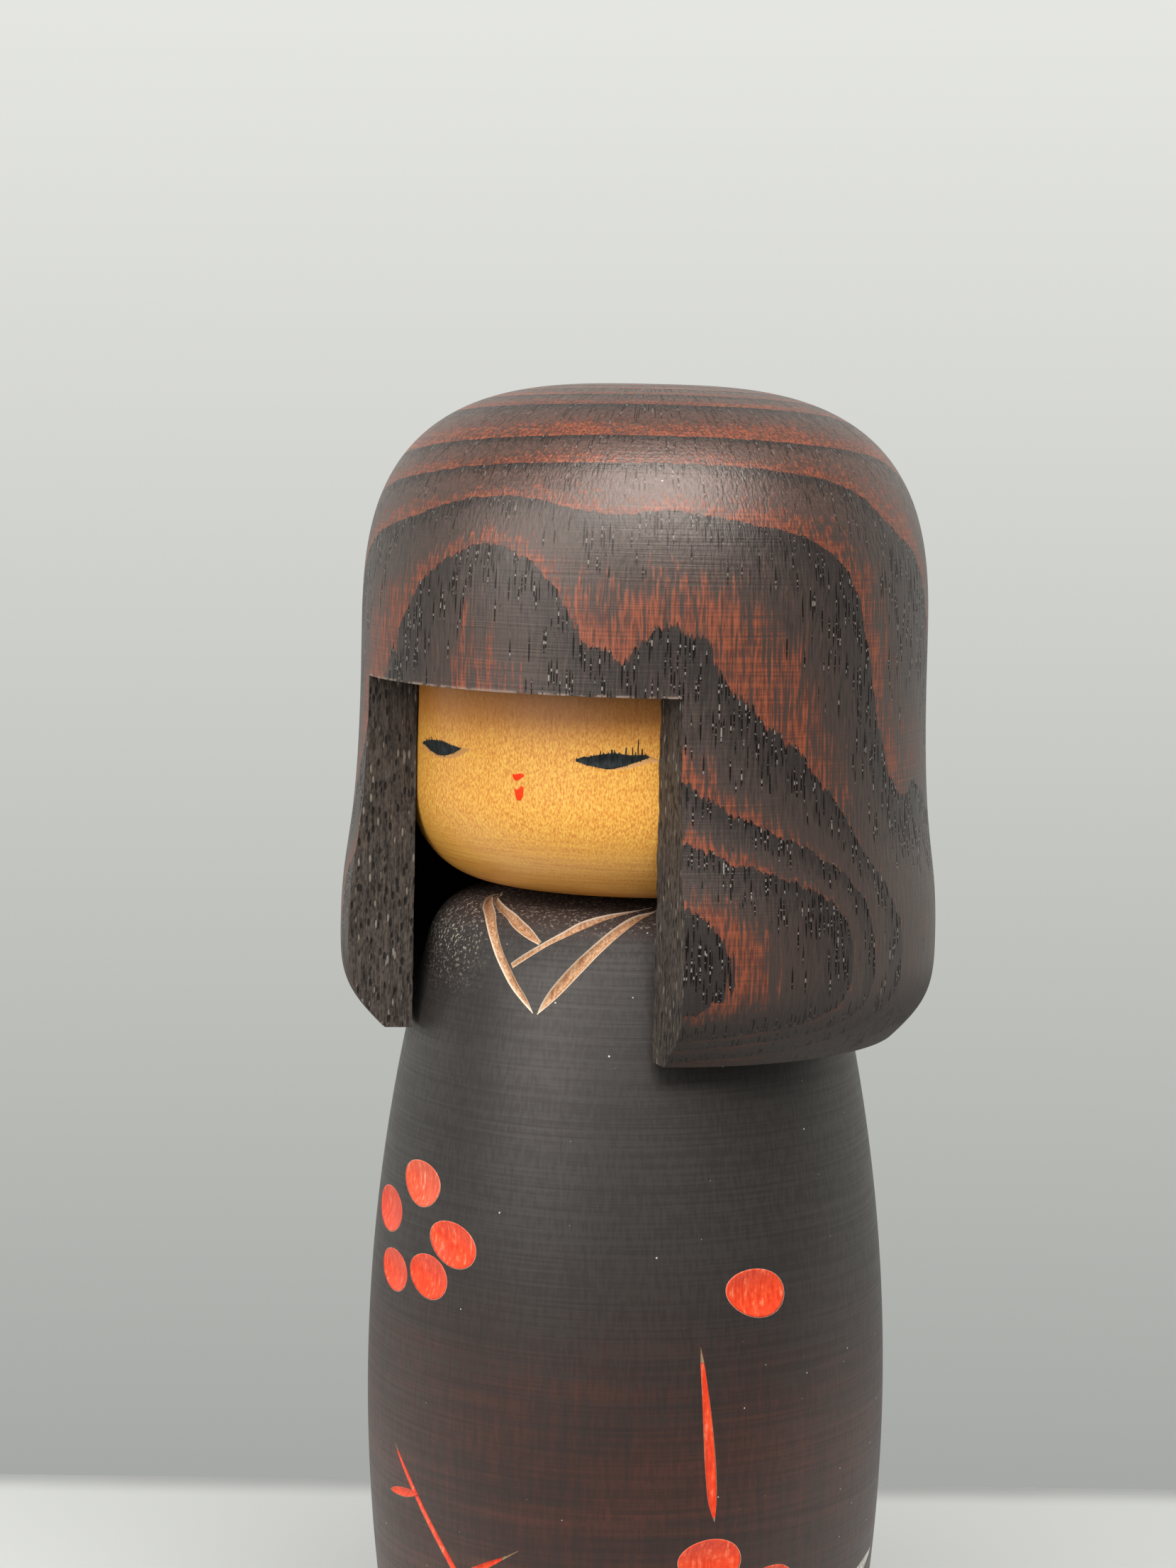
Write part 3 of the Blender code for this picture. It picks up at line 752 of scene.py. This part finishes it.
# The hair: a hollow bob turned from one dark-stained, ring-porous block, glued over the face block. A
# saw has opened its wall in front of the face, which leaves the fringe above and a lock at each side.
FACE_TOP_GAP = 0.3
CEILING = FACE_GAP + FACE_HEIGHT + FACE_TOP_GAP
WAIST_RADIUS, HEM_RADIUS = 46.85, 49.65
DOME_FOOT, DOME_HEIGHT, DOME_SQUARENESS = 39.1, 43.0, 3.0
HEM_HEIGHT, BOB_STRAIGHT, BOB_SWING = -8.8, 0.74, 0.36
RIM_HEIGHT, RIM_RADIUS, HEM_FULLNESS = -23.8, 43.45, 0.85
FRINGE_HEIGHT = 34.1
NOTCH_HALF_DEG, LEFT_SPLAY_DEG, RIGHT_SPLAY_DEG = 39.5, 56.0, 49.0
SAW_INWARDS, SAW_FINE, SAW_OUTWARDS, SAW_BELOW, SAW_MIDDLE = 14.0, 13.0, 36.0, 4.0, 44.0
SHARP_SAW_DEG = 30
CEILING_RINGS, HAIR_COLUMNS = (15.0, 30.0), 264


def hair_outline():
    """The bob from its hollow's ceiling out and up: hollow, rim, hem, a flared side and a squared dome.

    The dome is a superellipse, and the side and the hem are cubics.
    """
    hem, waist, rim = (HEM_RADIUS, HEM_HEIGHT), (WAIST_RADIUS, DOME_FOOT), (RIM_RADIUS, RIM_HEIGHT)
    drop = DOME_FOOT - HEM_HEIGHT
    corner = (HEM_RADIUS, RIM_HEIGHT + HEM_RADIUS - RIM_RADIUS)
    tuck = cubic(rim, between(rim, corner, HEM_FULLNESS), between(hem, corner, HEM_FULLNESS), hem, 22)
    swung = (HEM_RADIUS, HEM_HEIGHT + BOB_SWING * drop)
    narrow = (WAIST_RADIUS, DOME_FOOT - BOB_STRAIGHT * drop)
    bob = cubic(hem, swung, narrow, waist, 44)
    turn = np.linspace(0, np.pi / 2, 66)[1:-1]
    power = 2 / DOME_SQUARENESS
    dome_height = DOME_FOOT + DOME_HEIGHT * np.sin(turn) ** power
    dome = np.stack([WAIST_RADIUS * np.cos(turn) ** power, dome_height], 1)
    hollow = np.linspace((HOLLOW_RADIUS, CEILING), (HOLLOW_RADIUS, RIM_HEIGHT), 36)
    shelf = np.array([(radius, CEILING) for radius in CEILING_RINGS])
    return np.concatenate([shelf, hollow, tuck, bob[1:], dome])


def saw_cutter(finish):
    """The wedge that the saw takes away in front of the face, as stacked plans with rough sides and top.

    Each side is a straight cut that crosses the waist at the notch's half angle and splays outwards. Small
    waves along the cuts stand for the wander of a hand saw.
    """
    sides = []
    for hand, splay_deg in ((-1, RIGHT_SPLAY_DEG), (1, LEFT_SPLAY_DEG)):
        half, splay = math.radians(NOTCH_HALF_DEG), math.radians(splay_deg)
        edge = WAIST_RADIUS * np.array([hand * math.sin(half), -math.cos(half)])
        away = np.array([hand * math.sin(splay), -math.cos(splay)])
        reach = np.append(np.linspace(-SAW_INWARDS, SAW_FINE, 40), SAW_OUTWARDS)[:, None]
        normal = np.array([-away[1], away[0]])
        sides.append((edge + away * reach, normal))
    heights = np.linspace(RIM_HEIGHT - SAW_BELOW, FRINGE_HEIGHT, 76)[:, None, None]
    walls = []
    for line, normal in sides:
        run = np.arange(len(line))[:, None]
        wander = 0.07 * np.sin(heights * 0.43 + run * 0.11) + 0.05 * np.sin(heights * 1.31 + run * 0.7)
        walls.append(np.concatenate([line + normal * wander, heights + 0 * run + 0 * wander], -1))
    rings = np.concatenate([walls[0], walls[1][:, ::-1]], 1)
    foot = np.array([0.0, -SAW_MIDDLE, RIM_HEIGHT - SAW_BELOW])
    middle = np.array([0.0, -SAW_MIDDLE, FRINGE_HEIGHT])
    shares = np.array([0.85, 0.6, 0.3])[:, None, None]
    lid = middle + (rings[-1] - middle) * shares
    stack = in_head(np.concatenate([rings, lid]))
    return closed_skin("saw", in_head(foot), stack, in_head(middle), finish)


# Growth rings: radii of their edges, and flutes as an angle from the front and a push outwards.
RING_TAPER, HEM_TAPER, HEM_TAPER_FROM, HEM_TAPER_RUN = 0.05, 0.055, 2.0, 26.0
PITH_SHIFT = (-4.0, -2.55)
FLUTES = (
    (-62, 0.0), (-53, -0.15), (-40, -0.9), (-26, -0.75), (-16, -1.05), (-4, -1.55), (4, -1.1), (11, -0.1),
    (18, 0.95), (26, 1.45), (37, 1.15), (50, 1.55), (66, 1.8), (76, 2.35), (85, 3.4), (92, 3.9),
    (99, 3.4), (106, 2.8), (114, 2.35), (128, 1.0), (140, 0.2), (158, 0.0),
)
FLUTE_RANGE = 12.0
FLUTES_FROM, FLUTES_TO = 40.0, 46.8
FRINGE_RING, FRINGE_SPREAD, FRINGE_TURN_DEG = 48.1, 0.42, (26, 10)
RING_EDGES = (
    -4.0, 2.0, 8.0, 13.5, 18.6, 23.6, 28.7, 37.3, 41.4, 45.0, FRINGE_RING, 49.65, 50.75, 52.5, 62.0,
)
BACK_WANDER, BACK_SHIFT = 8.0, -0.5


def ring_share(local):
    """Where each place lies within its growth ring, from 0 at the ring's inner edge to 1 at its outer edge.

    Rings are circles about a pith behind the axis, pushed out in flutes, and they widen slowly downwards.
    Behind, where no flute is known, they wander by broad noise. They are counted by a sum of straight
    rises, one for each ring from its inner edge to its outer edge. Also gives radius, angle and height.
    """
    x, y, z = local.parts()
    radius = local.math("SQRT", x * x + y * y)
    turn = local.math("ARCTAN2", x, 0.0 - y)
    drop = (HEM_TAPER_FROM - z).rise(0, HEM_TAPER_RUN, "LINEAR") * HEM_TAPER_RUN
    field = radius - z * RING_TAPER - drop * HEM_TAPER
    for wave, shift in zip(("COSINE", "SINE"), PITH_SHIFT):
        field = field - local.math(wave, turn) * shift
    first, last = FLUTES[0][0], FLUTES[-1][0]
    greys = [((at - first) / (last - first), push / FLUTE_RANGE + 0.5) for at, push in FLUTES]
    stops = [(at, (grey, grey, grey, 1.0)) for at, grey in greys]
    along = turn.rise(math.radians(first), math.radians(last), "LINEAR")
    flutes = local.node("ValToRGB", {"stops": stops}, {0: along}) - 0.5
    field = field - flutes * radius.rise(FLUTES_FROM, FLUTES_TO, "LINEAR") * FLUTE_RANGE
    behind = (0.0 - y / radius).rise(0.1, -0.7)
    field = field + behind * (local.stretched(1, 1, 0.6).noise(0.03, 1) * BACK_WANDER + BACK_SHIFT)
    beyond = local.math("MAXIMUM", field - FRINGE_RING, 0.0)
    field = field - beyond * turn.rise(*np.radians(FRINGE_TURN_DEG).tolist()) * FRINGE_SPREAD
    grain = local.stretched(1, 1, 0.08)
    field = field + grain.noise(1.9, 2) * 0.3 + grain.noise(0.4, 2) * 0.36
    rings = sum((field.rise(a, b, "LINEAR") for a, b in zip(RING_EDGES[:-1], RING_EDGES[1:])), 0.0)
    return local.math("FRACT", rings), radius, turn, z


def open_holes_and_shade(made, share, dark):
    """Mixes a dull, dark shader into the varnished surface by this share, for open holes and for painted
    shade.
    """
    tree = made.node_tree
    varnish = Field(tree, tree.nodes["Principled BSDF"].outputs[0])
    hole_and_shade = share.node("BsdfDiffuse", {}, {"Color": dark})
    mixed = share.node("MixShader", {}, {0: share, 1: varnish, 2: hole_and_shade})
    tree.links.new(mixed.socket, tree.nodes["Material Output"].inputs["Surface"])


# Radii, heights and angles in the head's own frame, between which the hair's stain and its painted shade
# change.
CROWN, CROWN_TOP, PORES_FADE, HEM_PAINTED_SHADE = (46.4, 41.0), (42, 34), (46, 62), (-9, -19)
DARK_SIDE_DEG, DARK_SIDE_DROP = (50, 78), (30, 10)
PORE_LENGTHEN, PORE_SCALE, BEAD_SCALE, BEADS_APART = 0.07, 2.1, 1.2, 60.0


def hair_stain():
    """Dark stain on ring-porous wood. Each ring begins dark and full of pores and ends dense and red.

    Pores are upright slits in beaded chains, open or filled with pale dust, with painted glints on their
    edges, and fine lathe lines run round.
    The crown is wrinkled, and painted shade darkens the hollow's walls and the hem.
    """
    made, place = surface_of("stained_hair_wood")
    local = head_place(place)
    share, radius, turn, z = ring_share(local)
    stripes = local.stretched(1, 1, 0.07).noise(2.0, 3)
    fine = local.stretched(1, 1, 0.12).noise(2.8, 3)
    lathe = local.stretched(0.05, 0.05, 3.0).noise(1.0, 2)
    broad = local.stretched(1, 1, 0.5).noise(0.09, 2)
    side = turn.rise(*np.radians(DARK_SIDE_DEG).tolist()) * z.rise(*DARK_SIDE_DROP)
    crown, low = radius.rise(*CROWN), z.rise(*HEM_PAINTED_SHADE)
    late = share + stripes * 1.4 + broad * 0.6 + lathe * 0.2
    late = late - side * 0.35 + radius.rise(*CROWN_TOP) * 0.12
    middle = (crown * 0.6).pick(tone(65, 52, 47), tone(92, 62, 51))
    early = (share * (1.0 + crown) + fine * 1.8).rise(0.0, 0.8).pick(tone(36, 31, 30), middle)
    red = (fine * 2.0 + lathe * 0.8 + 0.5).rise(0.15, 0.85).pick(tone(86, 40, 28), tone(145, 73, 44))
    colour = late.rise(0.7, 1.02).pick(early, red)
    crease = local.noise(0.8, 2)
    wrinkle = crease.math("ABSOLUTE", crease).rise(0.06, 0.02) * crown
    colour = (wrinkle * 0.55).pick(colour, tone(36, 27, 25))
    sheet = local.node("CombineXYZ", {}, {0: turn * WAIST_RADIUS, 1: z * PORE_LENGTHEN})
    chain, chance_of = sheet.specks(PORE_SCALE, "2D")
    bead = local.node("CombineXYZ", {}, {0: chance_of * BEADS_APART, 1: z}).noise(BEAD_SCALE, 1)
    vessel = (chance_of - share * 1.3).rise(-0.02, 0.06)
    vessel = vessel * (1.0 - z.rise(*PORES_FADE) * 0.5) * (1.0 - low * 0.6)
    pore = vessel * chain.rise(0.38, 0.22) * bead.rise(0.08, 0.04)
    dust_and_glint = vessel * chain.rise(0.28, 0.14) * bead.rise(0.08, 0.12)
    colour = (pore * 0.9).pick(colour, tone(6, 5, 5))
    # Pale marks in the pore chains: partly dust, partly a painted glint off the pore edges.
    colour = (dust_and_glint * 0.55).pick(colour, tone(186, 178, 168))
    near, lone = place.specks(0.16)
    dust = near.rise(0.026, 0.014) * lone.rise(0.3, 0.4)
    colour = dust.pick(colour, tone(214, 206, 194))
    # Painted shade: the hair is darker towards the hem.
    colour = (low * 0.7).pick(colour, tone(24, 21, 20))
    # Painted shade: the walls of the hollow are painted near black.
    hollow_painted_shade = radius.rise(HOLLOW_RADIUS + 1.45, HOLLOW_RADIUS + 0.45) * z.rise(CEILING + 2, CEILING + 1)
    colour = hollow_painted_shade.pick(colour, tone(20, 17, 17))
    # A pale line along the fringe's lower edge: a painted edge highlight, broken where the edge is chipped.
    half = math.radians(NOTCH_HALF_DEG)
    window = turn.math("ABSOLUTE", turn).rise(half, half - math.radians(0.5))
    edge = z.rise(FRINGE_HEIGHT + 0.5, FRINGE_HEIGHT + 0.2)
    edge = edge * radius.rise(WAIST_RADIUS - 0.65, WAIST_RADIUS - 0.25)
    chipped_edge_highlight = edge * window * local.noise(0.5, 3).rise(-0.06, 0.06)
    colour = (chipped_edge_highlight * 0.55).pick(colour, tone(160, 140, 124))
    rough = 0.43 + stripes * 0.3 + low * 0.2 - crown * 0.04
    bump = lathe * 0.04 + fine * 0.06 + stripes * 0.08
    dress(made, colour, rough, bump, 0.0, 1.0, tone(255, 240, 230))
    # Pores mix in a dull dark shader, and so does the hem, where it is painted shade.
    open_holes_and_shade(made, pore * 0.65 + low * 0.2, tone(10, 8, 8))
    return made


def sawn_stain():
    """Stain on rough-sawn wood: coarse upright fibres, torn pores and pale dust."""
    made, place = surface_of("sawn_hair_wood")
    local = head_place(place)
    fibre = local.stretched(1, 1, 0.09).noise(1.9, 4, 0.7)
    coarse = local.stretched(1, 1, 0.35).noise(3.0, 2)
    near, chance_of = local.stretched(1, 1, 0.3).specks(1.3)
    torn = near.rise(0.36, 0.2)
    pale = torn * chance_of.rise(0.66, 0.72)
    shade = (fibre * 1.5 + coarse * 0.9 + 0.5).rise(0.05, 0.95)
    colour = shade.pick(tone(21, 18, 17), tone(94, 83, 74))
    colour = (torn * 0.85).pick(colour, tone(18, 16, 15))
    colour = (pale * 0.55).pick(colour, tone(170, 160, 146))
    dress(made, colour, 0.62 + coarse * 0.2, fibre * 0.35 + coarse * 0.15 - torn * 0.2, 0.0, 0.3)
    return made


hair_finish, sawn_finish = hair_stain(), sawn_stain()
hair_rings = in_head(turned_rings(hair_outline(), HAIR_COLUMNS))
hair_ends = in_head(np.array([(0, 0, CEILING), (0, 0, DOME_FOOT + DOME_HEIGHT)]))
hair = closed_skin("hair_bob", hair_ends[0], hair_rings, hair_ends[1], hair_finish)
carve(hair, [saw_cutter(sawn_finish)], SHARP_SAW_DEG)
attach(hair, "head")
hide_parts("hair_cap")

# The studio: a pale table whose far edge lies behind the doll, a pale room beyond it that is dim on the
# camera's side, two soft lamps and a camera at the photograph's place.
TABLE_TONE, TABLE_EDGE_TONE = tone(222, 223, 220), tone(180, 181, 179)
TABLE_FRONT_TONE = tone(110, 110, 109)
TABLE_BEHIND, TABLE_EDGE, TABLE_WIDE, TABLE_WAVER = 170.0, 14.0, 1500.0, 6.0
TABLE_DIMS = (-50.0, -170.0)
WALL_LOW, WALL_HIGH, WALL_TOP = tone(162, 164, 161), tone(232, 233, 228), tone(180, 180, 177)
ROOM_TONE, BELOW_TONE = tone(105, 105, 103), tone(190, 191, 188)
WALL_RISE, WALL_TOP_RISE, BELOW_RISE = (-0.32, 0.13), (0.3, 0.8), (-0.17, -0.25)
WALL_BEHIND = (0.08, 0.32)
LAMP_AIM_HEIGHT = 150.0
IMAGE_WIDTH, IMAGE_HEIGHT, FOCAL_PIXELS, AIM_LEFT_PIXELS = 1659, 2212, 4920.0, 61.5
CAMERA_AZIMUTH_DEG, CAMERA_DISTANCE, CAMERA_HEIGHT = 24.4, 578.4, 238.03
CAMERA_PITCH_DEG, CAMERA_ROLL_DEG, SENSOR_WIDTH = 6.33, 0.53, 36.0

az = math.radians(CAMERA_AZIMUTH_DEG)
right = np.array([math.cos(az), math.sin(az), 0])
forward = np.array([-math.sin(az), math.cos(az), 0])
up = np.array([0, 0, 1.0])


def along_view(vector):
    """How far a place or direction lies behind the doll, as the camera looks."""
    x, y, _ = vector.parts()
    return x * float(forward[0]) + y * float(forward[1])


def table_paint():
    """Matt pale paint with a trace of unevenness, a shaded far edge and a dim front."""
    made, place = surface_of("table_paint")
    behind = along_view(place) + place.noise(0.02, 2) * TABLE_WAVER
    pale = behind.rise(TABLE_BEHIND - TABLE_EDGE, TABLE_BEHIND).pick(TABLE_TONE, TABLE_EDGE_TONE)
    colour = behind.rise(*TABLE_DIMS).pick(pale, TABLE_FRONT_TONE)
    dress(made, colour, 0.9 + place.noise(0.1, 2) * 0.1, place.noise(0.5, 2) * 0.02, 0.0, 0.2)
    return made


far, near, side = forward * TABLE_BEHIND, -forward * TABLE_WIDE, right * TABLE_WIDE
table_corners = [far - side, near - side, near + side, far + side]
table_mesh = bpy.data.meshes.new("table")
table_mesh.from_pydata((np.array(table_corners) * MM).tolist(), [], [(0, 1, 2, 3)])
table_mesh.materials.append(table_paint())
table = bpy.data.objects.new("table", table_mesh)
bpy.context.scene.collection.objects.link(table)

world = bpy.data.worlds.new("room_light")
world.use_nodes = True
backdrop = world.node_tree.nodes["Background"]
way = Field(world.node_tree, world.node_tree.nodes.new("ShaderNodeTexCoord").outputs["Generated"])
rising = way.parts()[2]
wall = rising.rise(*WALL_RISE, "LINEAR").pick(WALL_LOW, WALL_HIGH)
wall = rising.rise(*WALL_TOP_RISE).pick(wall, WALL_TOP)
room = rising.rise(*BELOW_RISE).pick(ROOM_TONE, BELOW_TONE)
room = along_view(way).rise(*WALL_BEHIND).pick(room, wall)
world.node_tree.links.new(room.socket, backdrop.inputs["Color"])
backdrop.inputs["Strength"].default_value = 1.0
bpy.context.scene.world = world


def soft_lamp(name, azimuth_deg, elevation_deg, distance, size, power):
    """A square soft lamp, aimed at the doll from an angle beside the camera and an angle above the table."""
    side, lift = math.radians(azimuth_deg), math.radians(elevation_deg)
    level = -forward * math.cos(side) + right * math.sin(side)
    away = level * math.cos(lift) + up * math.sin(lift)
    lamp = bpy.data.lights.new(name, "AREA")
    lamp.shape, lamp.size, lamp.energy = "SQUARE", size * MM, power
    holder = bpy.data.objects.new(name, lamp)
    holder.location = (away * distance + up * LAMP_AIM_HEIGHT) * MM
    holder.rotation_mode = "QUATERNION"
    holder.rotation_quaternion = Vector(away).to_track_quat("Z", "Y")
    bpy.context.scene.collection.objects.link(holder)


soft_lamp("front_lamp", azimuth_deg=8, elevation_deg=52, distance=800, size=700, power=9.0)
soft_lamp("side_lamp", azimuth_deg=-46, elevation_deg=24, distance=900, size=700, power=4.4)

yaw = math.atan(AIM_LEFT_PIXELS / FOCAL_PIXELS)
pitch, roll = math.radians(CAMERA_PITCH_DEG), math.radians(CAMERA_ROLL_DEG)
level_ahead = forward * math.cos(yaw) - right * math.sin(yaw)
level_right = right * math.cos(yaw) + forward * math.sin(yaw)
ahead = level_ahead * math.cos(pitch) - up * math.sin(pitch)
over = up * math.cos(pitch) + level_ahead * math.sin(pitch)
rolled_right = level_right * math.cos(roll) + over * math.sin(roll)
rolled_up = over * math.cos(roll) - level_right * math.sin(roll)
axes = np.stack([rolled_right, rolled_up, -ahead], 1)
lens = bpy.data.cameras.new("camera")
lens.sensor_width = SENSOR_WIDTH
lens.lens = FOCAL_PIXELS * SENSOR_WIDTH / max(IMAGE_WIDTH, IMAGE_HEIGHT)
lens.clip_start, lens.clip_end = 0.05, 20.0
camera = bpy.data.objects.new("camera", lens)
camera.rotation_mode = "QUATERNION"
camera.rotation_quaternion = Matrix(axes.tolist()).to_quaternion()
camera.location = (-forward * CAMERA_DISTANCE + up * CAMERA_HEIGHT) * MM
bpy.context.scene.collection.objects.link(camera)
bpy.context.scene.camera = camera
bpy.context.scene.view_settings.view_transform = "Standard"
